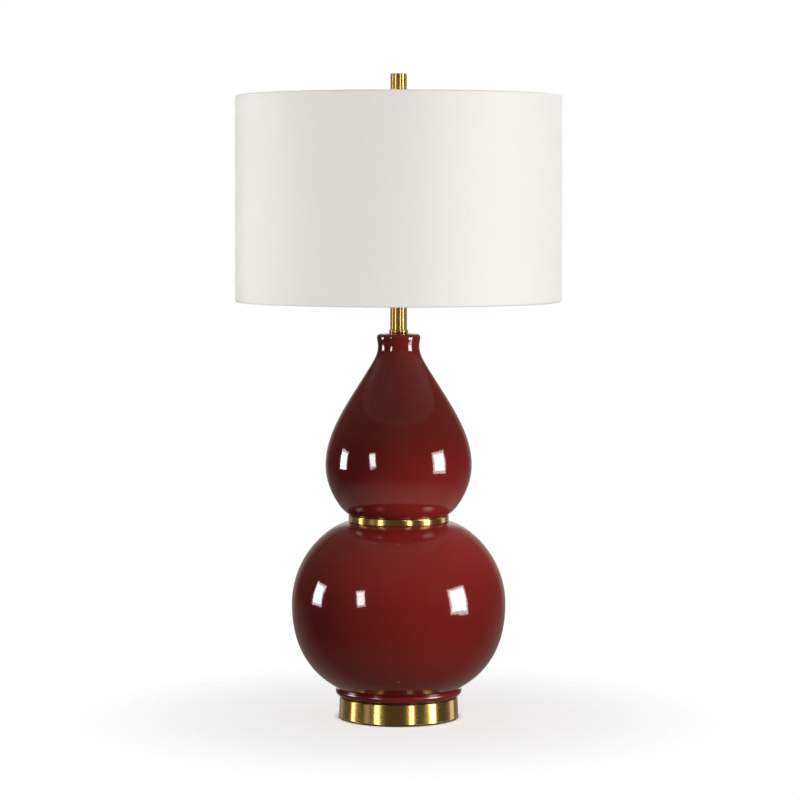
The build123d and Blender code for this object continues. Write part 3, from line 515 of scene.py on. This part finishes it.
# The hem's tucked edge behind the ring: out from the wire by these shares of the roll's radius, and
# away from it by these shares of the hem's depth.
TUCKED_EDGE = ((0.2, 0.6), (-0.75, 0.28))
COVER_COLUMNS = 420
COVER_ROWS = 60
ROLL_STEPS = 12
LAP_WIDTH = 9.0 * MM
LAP_STEPS = 4
LAP_RISE_STEPS = 2
LAP_LIFT = CLOTH_THICKNESS * 1.15
SEAM_ANGLE = math.radians(78)
ARM_ANGLES = [math.radians(90 + 120 * number) for number in range(3)]
ARM_NOTCH = 2.6 * MM
HEM_WAVER = 0.25 * MM
WAVER_TURNS = (3, 5, 8, 13)
COVER_SEED = 7


def ring_wire(node):
    """The centre of a shade ring's wire as (radius, height)."""
    low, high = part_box(node)
    thickness = high.z - low.z
    return high.y - thickness / 2, (low.z + high.z) / 2


def hem_outline(wire, roll, side):
    """The cloth's middle line round one ring wire: side is 1 at the top and -1 at the bottom."""
    radius, height = wire
    points = [(radius + roll - HEM_SET_IN, height - side * HEM_DEPTH)]
    for out, away in TUCKED_EDGE:
        points.append((radius + out * roll, height - side * away * HEM_DEPTH))
    for step in range(ROLL_STEPS + 1):
        angle = math.pi * (1 - step / ROLL_STEPS)
        points.append((radius + roll * math.cos(angle), height + side * roll * math.sin(angle)))
    return points


def cover_outline():
    """The cloth's middle line, from its hem's edge inside the top, down the outside, to the bottom hem.

    The number of points in each hem comes with it. Both hems have as many.
    """
    top = ring_wire("shade_top_ring")
    bottom = ring_wire("shade_bottom_ring")
    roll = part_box("shade_fabric")[1].z - top[1] - CLOTH_THICKNESS / 2
    upper = hem_outline(top, roll, 1)
    lower = hem_outline(bottom, roll, -1)
    start, end = upper[-1], lower[-1]
    wall = []
    for step in range(1, COVER_ROWS):
        share = step / COVER_ROWS
        wall.append((start[0] + share * (end[0] - start[0]), start[1] + share * (end[1] - start[1])))
    return upper + wall + lower[::-1], len(upper)


def cover_column(column, lap):
    """A column's angle, and how far the lap lifts it off the cloth's other end."""
    past = column - COVER_COLUMNS
    if past > 0:
        angle = SEAM_ANGLE + FULL_TURN + past / LAP_STEPS * lap
    else:
        angle = SEAM_ANGLE + FULL_TURN * column / COVER_COLUMNS
    return angle, LAP_LIFT * min(1.0, max(0.0, (past + LAP_RISE_STEPS) / LAP_RISE_STEPS))


def cover_vertices(outline, hem_points, columns, lap):
    """The cloth's points, row by row. Its hems waver a little up and down."""
    randomly = random.Random(COVER_SEED)
    waves = [(turns, randomly.uniform(0, FULL_TURN)) for turns in WAVER_TURNS]
    first_outside = hem_points - ROLL_STEPS // 2
    vertices = []
    for level, (out, height) in enumerate(outline):
        side = 1 if first_outside <= level < len(outline) - first_outside else -1
        for column in range(columns):
            angle, lift = cover_column(column, lap)
            waver = HEM_WAVER * sum(math.sin(turns * angle + phase) / turns for turns, phase in waves)
            vertices.append(around_axis(out + side * lift, angle, height + waver))
    return vertices


def clear_of_arms(face_middle, radius):
    """Whether a face is clear of the fitter's three arms, which pass through the top hem."""
    angle = math.atan2(face_middle.y, face_middle.x)
    off = min(abs((angle - arm + math.pi) % FULL_TURN - math.pi) for arm in ARM_ANGLES)
    return off * radius >= ARM_NOTCH


def shade_cover():
    """The linen cover: one strip that laps over itself at the back and rolls round both ring wires."""
    outline, hem_points = cover_outline()
    radius = outline[len(outline) // 2][0]
    columns = COVER_COLUMNS + LAP_STEPS + 1
    vertices = cover_vertices(outline, hem_points, columns, LAP_WIDTH / radius)
    faces = []
    for face in grid_faces(len(outline), columns, False):
        inside_top = face[0] // columns < hem_points - ROLL_STEPS // 2
        if not inside_top or clear_of_arms(middle_of(vertices, face), radius):
            faces.append(face)
    cover = new_piece("shade_cover", vertices, faces, "shade_linen", "shade", "shade_fabric")
    thick = cover.modifiers.new("cloth", "SOLIDIFY")
    thick.thickness = CLOTH_THICKNESS
    thick.offset = 0
    return cover


# ---- Felt under the foot --------------------------------------------------------------------------

FELT_RINGS = 26
FELT_COLUMNS = 160
FELT_EDGE_STEPS = 5
FELT_FLAT_SHARE = 0.985
FELT_FUZZ = 0.2 * MM
FELT_SEED = 3


def felt_outline(radius, low, high):
    """From the middle of the underside, round the soft rim, to the middle of the top."""
    rings = [radius * (ring + 1) / FELT_RINGS * FELT_FLAT_SHARE for ring in range(FELT_RINGS)]
    outline = [(ring, low) for ring in rings]
    for step in range(1, FELT_EDGE_STEPS):
        angle = math.pi * step / FELT_EDGE_STEPS - math.pi / 2
        out = radius * FELT_FLAT_SHARE + radius * (1 - FELT_FLAT_SHARE) * math.cos(angle)
        outline.append((out, low + (high - low) * (0.5 + 0.5 * math.sin(angle))))
    return outline + [(ring, high) for ring in reversed(rings)]


def felt_sole():
    """A stamped felt disc whose rim is soft and slightly fuzzed."""
    low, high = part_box("felt_pad")
    radius = high.x
    randomly = random.Random(FELT_SEED)
    vertices = []
    outline = felt_outline(radius, low.z, high.z)
    for out, height in outline:
        for column in range(FELT_COLUMNS):
            angle = FULL_TURN * column / FELT_COLUMNS
            fuzz = randomly.uniform(-FELT_FUZZ, 0.0) if out > FELT_FLAT_SHARE * radius else 0.0
            vertices.append(around_axis(out + fuzz, angle, height))
    faces = grid_faces(len(outline), FELT_COLUMNS, True)
    faces.append(tuple(range(FELT_COLUMNS))[::-1])
    faces.append(tuple(range(len(vertices) - FELT_COLUMNS, len(vertices))))
    sole = new_piece("felt_sole", vertices, faces, "felt", "lamp_body", "felt_pad")


# ---- World and table ------------------------------------------------------------------------------

AMBIENT = 0.20
WHITE = 1.0
TABLE_RADIUS = 0.16
TABLE_FADE = 0.26
TABLE_MARGIN = 0.05
TABLE_DROP = 0.2 * MM
TABLE_DARK = (0.86, 0.86, 0.86)
TABLE_LIGHT = (0.88, 0.88, 0.88)


def larger_of(tree, first, second):
    node = tree.nodes.new("ShaderNodeMath")
    node.operation = "MAXIMUM"
    tree.links.new(first, node.inputs[0])
    tree.links.new(second, node.inputs[1])
    return node.outputs[0]


def white_background(tree, strength):
    node = tree.nodes.new("ShaderNodeBackground")
    node.inputs["Color"].default_value = (1.0, 1.0, 1.0, 1.0)
    node.inputs["Strength"].default_value = strength
    return node.outputs[0]


def make_world():
    """White behind the lamp, to the eye and in its reflections, and a dim even light elsewhere."""
    world = bpy.data.worlds.new("world")
    bpy.context.scene.world = world
    world.use_nodes = True
    tree = world.node_tree
    tree.nodes.clear()
    ray = tree.nodes.new("ShaderNodeLightPath").outputs
    seen = larger_of(tree, ray["Is Camera Ray"], ray["Is Glossy Ray"])
    choice = tree.nodes.new("ShaderNodeMixShader")
    tree.links.new(larger_of(tree, seen, ray["Is Transmission Ray"]), choice.inputs[0])
    tree.links.new(white_background(tree, AMBIENT), choice.inputs[1])
    tree.links.new(white_background(tree, WHITE), choice.inputs[2])
    output = tree.nodes.new("ShaderNodeOutputWorld")
    tree.links.new(choice.outputs[0], output.inputs["Surface"])


def stage_mesh(name, vertices, faces, material):
    """A mesh that isn't part of the lamp, and that no other surface is lit or shaded by."""
    mesh = bpy.data.meshes.new(name)
    mesh.from_pydata(vertices, [], faces)
    mesh.materials.append(material)
    thing = bpy.data.objects.new(name, mesh)
    bpy.context.scene.collection.objects.link(thing)
    thing.visible_diffuse = False
    thing.visible_shadow = False
    return thing


def table_top():
    """A pale round table top that fades into the white background."""
    finish = Finish("table_top", roughness=0.8)
    finish.surface.inputs["Specular IOR Level"].default_value = 0.1
    grain = finish.noise(finish.place(), scale=30, detail=3)
    finish.colour(finish.mix(grain, TABLE_DARK, TABLE_LIGHT))
    reach = finish.unrolled(1.0)[2]
    fade = finish.put("MapRange", {0: reach, 1: TABLE_RADIUS, 2: TABLE_RADIUS + TABLE_FADE})
    fade.interpolation_type = "SMOOTHSTEP"
    clear = finish.put("BsdfTransparent").outputs[0]
    surfaces = {0: fade.outputs[0], 1: finish.surface.outputs[0], 2: clear}
    finish.show(finish.put("MixShader", surfaces).outputs[0])
    half = TABLE_RADIUS + TABLE_FADE + TABLE_MARGIN
    corners = [(x * half, y * half, -TABLE_DROP) for x, y in ((-1, -1), (1, -1), (1, 1), (-1, 1))]
    table = stage_mesh("table_top", corners, [(0, 1, 2, 3)], finish.material)
    table.visible_glossy = False


# ---- The room that reflections show ---------------------------------------------------------------

ROOM_COLOUR = (1.0, 0.93, 0.82)
ROOM_RADIUS = 4.6
ROOM_ROWS = 24
ROOM_COLUMNS = 48
ROOM_TOP = 89
WALL_GLOW = 0.06
CEILING_GLOW = 0.24
BACKDROP_GLOW = 0.4
FLOOR_GLOW = 0.2
# Where these lights come and go, in shares of the room's radius: back from the lamp, or up from the table.
BACKDROP_RANGE = (0.77, 0.97)
BACKDROP_FOOT = (-0.2, 0.0)
FLOOR_RANGE = (0.2, 0.95)
FLOOR_LIMIT = (0.02, -0.25)
OPENING_HALF_WIDTH = 13
OPENING_LOW = -1.8
OPENING_HIGH = 3.0


def towards(azimuth, elevation=0.0):
    """The direction of a light, counted from the front and turning to the right, in degrees."""
    a, e = math.radians(azimuth), math.radians(elevation)
    return Vector((math.sin(a) * math.cos(e), -math.cos(a) * math.cos(e), math.sin(e)))


def room_glow():
    """A dim warm light that grows towards the ceiling, and behind the lamp where the floor is pale."""
    finish = Finish("studio", roughness=1.0)
    _, back, up = finish.coordinates()

    def grows(value, limits, level=1.0):
        low, high = (limit * ROOM_RADIUS for limit in limits)
        return finish.span(value, low, high, 0.0, level)

    rise = finish.math("POWER", grows(up, (0.0, 1.0)), 2.0)
    backdrop = finish.math("MULTIPLY", grows(back, BACKDROP_RANGE, BACKDROP_GLOW), grows(up, BACKDROP_FOOT))
    floor = finish.math("MULTIPLY", grows(back, FLOOR_RANGE, FLOOR_GLOW), grows(up, FLOOR_LIMIT))
    level = finish.math("MULTIPLY", rise, CEILING_GLOW - WALL_GLOW)
    for part in (backdrop, floor, WALL_GLOW):
        level = finish.math("ADD", level, part)
    glow = finish.put("Emission", {"Color": (*ROOM_COLOUR, 1.0), "Strength": level})
    finish.show(glow.outputs[0])
    return finish.material


def studio():
    """The dim room that reflections show, as a dome with an opening behind the lamp."""
    vertices = []
    for row in range(ROOM_ROWS + 1):
        elevation = ROOM_TOP * (2 * row / ROOM_ROWS - 1)
        for step in range(ROOM_COLUMNS):
            azimuth = -180 + (step + 0.5) * 360 / ROOM_COLUMNS
            vertices.append(towards(azimuth, elevation) * ROOM_RADIUS)
    faces = []
    for face in grid_faces(ROOM_ROWS + 1, ROOM_COLUMNS, True):
        middle = middle_of(vertices, face)
        behind = abs(math.degrees(math.atan2(middle.x, middle.y))) < OPENING_HALF_WIDTH
        if not (behind and OPENING_LOW < middle.z < OPENING_HIGH):
            faces.append(face)
    room = stage_mesh("studio", vertices, faces, room_glow())
    room.visible_camera = False
    room.visible_transmission = False


# ---- Lights ---------------------------------------------------------------------------------------

FACE_DISTANCE = 2.0
FACE_HEIGHT = 0.23
CORE_SIZE = 0.78
CORE_STAND_OFF = 0.02
EDGE_LEVEL = 0.6
LAMP_AIM = 0.35
GLOW_LIFT = 0.2 * MM
GLOW_SPREAD = 136

# Name, azimuth, width, low edge and high edge in degrees, brightness, and roll in degrees.
SOFTBOXES = (
    ("right", 66.0, 22.5, -8.5, 19.0, 14.5, 0.0),
    ("left", -95.0, 16.0, -4.5, 15.0, 12.0, 0.0),
    ("near_left", -40.8, 9.5, 1.0, 20.0, 12.5, 12.0),
)
# Upright strips that only the brass shows: azimuth and width in degrees, and brightness.
BRASS_STRIPS = (
    (-141, 14, 0.15),
    (-97, 9, 2.6),
    (-63, 12, 0.30),
    (-42, 8, 4.2),
    (25, 6.5, 5.0),
    (68.5, 11, 6.5),
    (124, 16, 0.75),
)
STRIP_LOW = -50.0
STRIP_HIGH = 60.0
# Name, size, brightness, and what reflects it.
TABLE_GLOWS = (
    ("table_glow_above", 1.6, 0.27, "only_upper"),
    ("table_glow_below", 1.2, 0.06, "only_lower"),
)
# Name, azimuth and elevation in degrees, distance, size, brightness, and what it reaches.
LAMPS = (
    ("key", 43, 15, 2.4, 1.0, 0.70, "not_upper"),
    ("overhead", 48, 70, 2.4, 1.4, 0.30, "not_shade"),
    ("upper_key", 57, -32, 2.4, 1.0, 0.50, "only_upper"),
    ("upper_bounce", 35, -50, 1.6, 0.8, 0.32, "only_upper"),
    ("lower_bounce", -80, -35, 1.6, 0.8, 0.06, "only_lower"),
    ("back_right", 148, 32, 2.4, 1.2, 0.62, "not_liner"),
    ("back_left", -148, 32, 2.4, 1.2, 0.42, "not_liner"),
    ("over_table", 0, 85, 2.6, 2.0, 1.25, "only_table"),
    ("shade_bounce", 20, -45, 1.2, 0.6, 0.26, "only_shade"),
    ("shade_left", -59, 0, 0.45, 0.12, 0.98, "only_shade"),
)
SHADE_LEFT_LENGTH = 1.5
SHADE_LEFT_HEIGHT = 0.65


def area_light(name, width, height, energy, place, facing, only):
    """A rectangular light at place, which the camera never sees. It shines away from facing."""
    light = bpy.data.lights.new(name, "AREA")
    light.shape = "RECTANGLE"
    light.size = width
    light.size_y = height
    light.energy = energy
    made = bpy.data.objects.new(name, light)
    bpy.context.scene.collection.objects.link(made)
    made.location = place
    made.rotation_mode = "QUATERNION"
    made.rotation_quaternion = facing.to_track_quat("Z", "Y")
    made.visible_camera = False
    made.light_linking.receiver_collection = only
    return made


def bright_face(name, azimuth, width, low, high, radiance, only, roll=0.0, size=1.0, stand_off=0.0):
    """A bright rectangle that reflections alone show: its width and edges are in degrees."""
    low_edge, high_edge = (FACE_DISTANCE * math.tan(math.radians(edge)) for edge in (low, high))
    across = 2 * FACE_DISTANCE * math.tan(math.radians(width / 2)) * size
    tall = (high_edge - low_edge) * size
    out = towards(azimuth)
    place = out * (FACE_DISTANCE - stand_off) + Vector((0, 0, FACE_HEIGHT + (low_edge + high_edge) / 2))
    made = area_light(name, across, tall, radiance * math.pi * across * tall, place, out, only)
    made.rotation_quaternion @= Quaternion((0, 0, 1), math.radians(roll))
    made.visible_diffuse = False


def softbox(name, azimuth, width, low, high, radiance, roll, only):
    """A softbox's face, dimmer round its edge. Its core stands in front, since the nearest hides others."""
    face = (azimuth, width, low, high)
    bright_face(f"softbox_{name}", *face, radiance * EDGE_LEVEL, only, roll)
    bright_face(f"softbox_{name}_core", *face, radiance, only, roll, CORE_SIZE, CORE_STAND_OFF)


def table_glow(name, size, radiance, only):
    """The pale table as a glazed piece reflects it, brightest straight down and fading outwards."""
    energy = radiance * (math.pi * size / 2) ** 2
    made = area_light(name, size, size, energy, (0, 0, GLOW_LIFT), Vector((0, 0, -1)), only)
    made.data.shape = "DISK"
    made.data.spread = math.radians(GLOW_SPREAD)
    made.data.color = ROOM_COLOUR
    made.visible_diffuse = False


def lamp(name, azimuth, elevation, distance, size, level, only):
    """A soft light that gives a white surface facing it the brightness of level."""
    out = towards(azimuth, elevation)
    place = out * distance + Vector((0, 0, LAMP_AIM))
    made = area_light(name, size, size, level * (math.pi * distance) ** 2, place, out, only)
    made.visible_glossy = False
    return made


def receivers(name, objects):
    """A named group of the only objects that a light reaches."""
    group = bpy.data.collections.new(name)
    for item in objects:
        group.objects.link(item)
    return group


def light_groups(shade_pieces):
    """The groups of pieces that the lights reach, by name."""
    meshes = [item for item in bpy.context.scene.objects if item.type == "MESH" and item.material_slots]
    pieces = [item for item in meshes if item.visible_camera and item.name != "table_top"]
    brass = [item for item in pieces if item.material_slots[0].material == FINISHES["polished_brass"]]
    groups = {
        "only_brass": brass,
        "not_brass": [item for item in pieces if item not in brass],
        "only_shade": shade_pieces,
        "not_shade": [item for item in pieces if item not in shade_pieces],
        "not_liner": [item for item in pieces if item != nodes["shade_liner"]],
        "only_upper": [nodes["upper_gourd"]],
        "not_upper": [item for item in pieces if item != nodes["upper_gourd"]],
        "only_lower": [nodes["lower_gourd"]],
        "only_table": [bpy.data.objects["table_top"]],
        "only_foot": [nodes["base_shell"]],
    }
    return {name: receivers(name, items) for name, items in groups.items()}


def make_lights(shade_pieces):
    """Bright faces for the reflections, and lamps that reflections don't show."""
    groups = light_groups(shade_pieces)
    for box in SOFTBOXES:
        softbox(*box, groups["not_brass"])
    for azimuth, width, radiance in BRASS_STRIPS:
        name = f"strip_{azimuth:+.0f}"
        bright_face(name, azimuth, width, STRIP_LOW, STRIP_HIGH, radiance, groups["only_brass"])
    for *glow, group in TABLE_GLOWS:
        table_glow(*glow, groups[group])
    lamps = {}
    for name, *setting, group in LAMPS:
        lamps[name] = lamp(name, *setting, groups[group])
    lamps["lower_bounce"].data.color = ROOM_COLOUR
    # The foot alone shades the table, so that the shade doesn't darken the floor round it.
    lamps["over_table"].light_linking.blocker_collection = groups["only_foot"]
    # This one is a tall strip beside the shade.
    lamps["shade_left"].data.size_y = SHADE_LEFT_LENGTH
    lamps["shade_left"].location.z = SHADE_LEFT_HEIGHT


# ---- Putting it together --------------------------------------------------------------------------

SHADE_NODES = ["shade_liner", "shade_top_ring", "shade_bottom_ring", "spider_fitter"]

dress_frame()
cover = shade_cover()
felt_sole()
make_world()
table_top()
make_lights([cover] + [nodes[name] for name in SHADE_NODES])
studio()
bpy.context.scene.view_settings.view_transform = "Standard"
